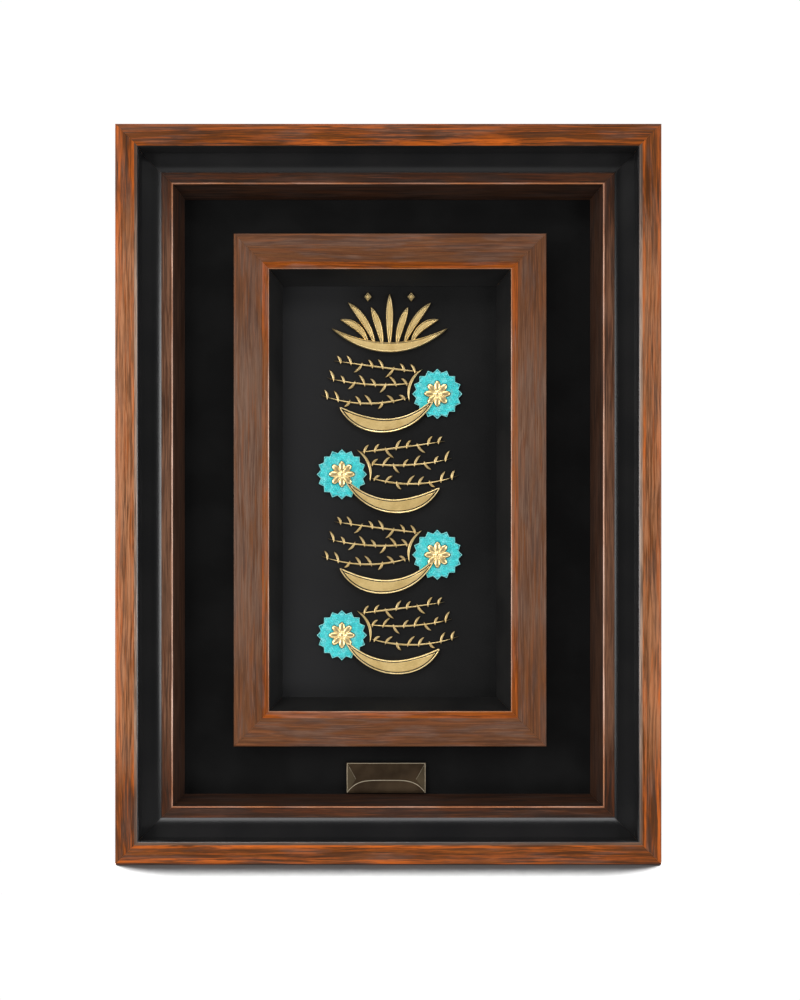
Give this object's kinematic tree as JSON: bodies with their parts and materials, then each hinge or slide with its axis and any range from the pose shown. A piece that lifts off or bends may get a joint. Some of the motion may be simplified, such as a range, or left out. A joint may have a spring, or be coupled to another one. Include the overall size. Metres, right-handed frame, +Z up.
{
  "type": "calligraphy wall panel",
  "caption": "Deep framed wall panel: gilt relief strokes and turquoise star medallions on a black field inside a smaller frame, with a toothed hanger on the back.",
  "frame": {"origin": "middle of the back face of the hanger, where the panel lies against its nail and the wall", "axes": "+Z up along the panel's height, +Y from the panel into the wall, +X to the right for a viewer in front, so the front looks along -Y"},
  "size_m": [0.48, 0.0575, 0.65],
  "materials": {
    "rail_wood": "dark brown wood grain with orange streaks, satin; the cove is glossy black",
    "black_board": "matte black",
    "black_field": "matte black, slightly paler than the board",
    "gilt": "gold plated, brushed fields and bright edges",
    "turquoise": "turquoise chips set close together, polished",
    "bronze_plate": "dark brown bronze with thin bare champagne lines",
    "zinc_steel": "zinc plated"
  },
  "bodies": {
    "root": {"outer_rail_bottom": "rail_wood", "outer_rail_right": "rail_wood", "outer_rail_top": "rail_wood", "outer_rail_left": "rail_wood", "backing_board": "black_board", "inner_rail_bottom": "rail_wood", "inner_rail_right": "rail_wood", "inner_rail_top": "rail_wood", "inner_rail_left": "rail_wood", "inner_field": "black_field", "star_1": "turquoise", "sweep_1": "gilt", "fine_strokes_1": "gilt", "star_2": "turquoise", "sweep_2": "gilt", "fine_strokes_2": "gilt", "star_3": "turquoise", "sweep_3": "gilt", "fine_strokes_3": "gilt", "star_4": "turquoise", "sweep_4": "gilt", "fine_strokes_4": "gilt", "heading_strokes": "gilt", "heading_lozenge_left": "gilt", "heading_lozenge_right": "gilt", "name_plate": "bronze_plate", "hanger": "zinc_steel", "hanger_nail_left": "zinc_steel", "hanger_nail_right": "zinc_steel"}
  },
  "joints": []
}
